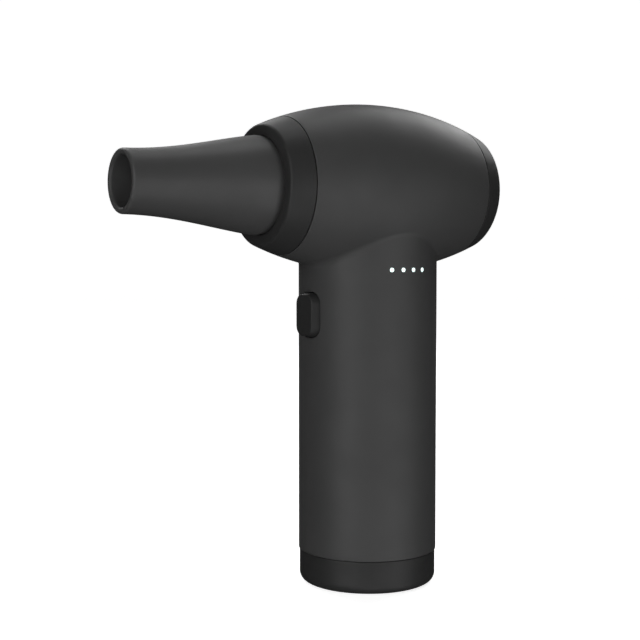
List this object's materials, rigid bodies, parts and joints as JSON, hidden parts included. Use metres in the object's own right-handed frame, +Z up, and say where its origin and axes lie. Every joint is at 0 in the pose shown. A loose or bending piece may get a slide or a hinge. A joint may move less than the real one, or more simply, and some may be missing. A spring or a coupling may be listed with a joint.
{
  "type": "car dryer blower",
  "caption": "Cordless hand-held blower that dries car bodywork with an air jet from a push-on nozzle; barrel-shaped fan head on a round battery handle.",
  "frame": {"origin": "centre of the flat base under the handle", "axes": "+Z up along the handle; the nozzle points to -X; the row of charge lights is on the -Y side"},
  "size_m": [0.134, 0.0552, 0.1586],
  "materials": {
    "housing": "soft-touch matte",
    "trim": "fine matte texture",
    "nozzle_shell": "soft-touch matte",
    "seal_rubber": "satin",
    "foam": "open-cell foam",
    "inner_plastic": "moulded",
    "fan_plastic": "moulded",
    "screw_steel": "zinc plated",
    "button": "fine matte texture",
    "switch_brass": "plain",
    "light_lens": "clear",
    "circuit_board": "solder mask",
    "light_chip": "phosphor",
    "wire_cover": "insulated wire",
    "motor_steel": "laminated steel",
    "copper": "enamelled wire",
    "cast_aluminium": "machined",
    "bearing_steel": "ground",
    "chip_black": "moulded",
    "capacitor_can": "sleeved",
    "connector_white": "moulded",
    "cell_wrap": "heat-shrink wrap",
    "nickel": "plain",
    "insulator_card": "fibre card",
    "socket_steel": "plated"
  },
  "bodies": {
    "blower": {"main_housing": "housing", "front_ring": "trim", "bottom_cap": "trim", "bottom_cap_screws": "screw_steel", "trigger_switch": "inner_plastic", "light_guide": "light_lens", "light_board": "circuit_board", "light_chips": "light_chip", "light_leads": "wire_cover", "fan_duct": "inner_plastic", "duct_cushion_front": "seal_rubber", "duct_cushion_rear": "seal_rubber", "vane_carrier": "fan_plastic", "motor_core": "motor_steel", "motor_windings": "copper", "motor_end_plate": "cast_aluminium", "motor_board": "circuit_board", "tail_cone": "fan_plastic", "bearing_front": "bearing_steel", "bearing_rear": "bearing_steel", "motor_leads": "wire_cover", "main_board": "circuit_board", "power_chips": "chip_black", "capacitors": "capacitor_can", "lead_connector": "connector_white", "board_carrier": "inner_plastic", "battery_cell_1": "cell_wrap", "battery_cell_2": "cell_wrap", "battery_cell_3": "cell_wrap", "cell_spacer_lower": "inner_plastic", "cell_spacer_upper": "inner_plastic", "cell_strips_lower": "nickel", "cell_strips_upper": "nickel", "pack_insulator": "insulator_card", "battery_leads": "wire_cover", "charge_board": "circuit_board", "charge_socket": "socket_steel", "charge_leads": "wire_cover"},
    "trigger": {"trigger_button": "button"},
    "plunger": {"switch_plunger": "switch_brass"},
    "rotor": {"rotor_shaft": "bearing_steel", "rotor_magnet": "motor_steel", "impeller": "cast_aluminium", "impeller_nut": "bearing_steel"},
    "nozzle_mount": {"nozzle_seal": "seal_rubber"},
    "nozzle": {"nozzle": "nozzle_shell"},
    "filter_cap": {"rear_grille": "trim", "rear_cap_seal": "seal_rubber", "filter_foam": "foam", "filter_retainer": "inner_plastic"}
  },
  "joints": [
    {"name": "nozzle_pull", "type": "slide", "parent": "blower", "child": "nozzle_mount", "axis": [-1, 0, 0], "range_m": [0, 0.03]},
    {"name": "nozzle_turn", "type": "hinge", "parent": "nozzle_mount", "child": "nozzle", "pos_m": [-0.033, 0, 0.131], "axis": [1, 0, 0], "continuous": true},
    {"name": "filter_cap_pull", "type": "slide", "parent": "blower", "child": "filter_cap", "axis": [1, 0, 0], "range_m": [0, 0.015]},
    {"name": "trigger_press", "type": "slide", "parent": "blower", "child": "trigger", "axis": [1, 0, 0], "range_m": [0, 0.0014], "stiffness_N_per_m": 1500},
    {"name": "plunger_press", "type": "slide", "parent": "blower", "child": "plunger", "axis": [1, 0, 0], "range_m": [0, 0.0014]},
    {"name": "rotor_spin", "type": "hinge", "parent": "blower", "child": "rotor", "pos_m": [0, 0, 0.131], "axis": [1, 0, 0], "continuous": true}
  ],
  "couplings": [
    {"joint": "plunger_press", "follows": "trigger_press", "ratio": 1}
  ]
}
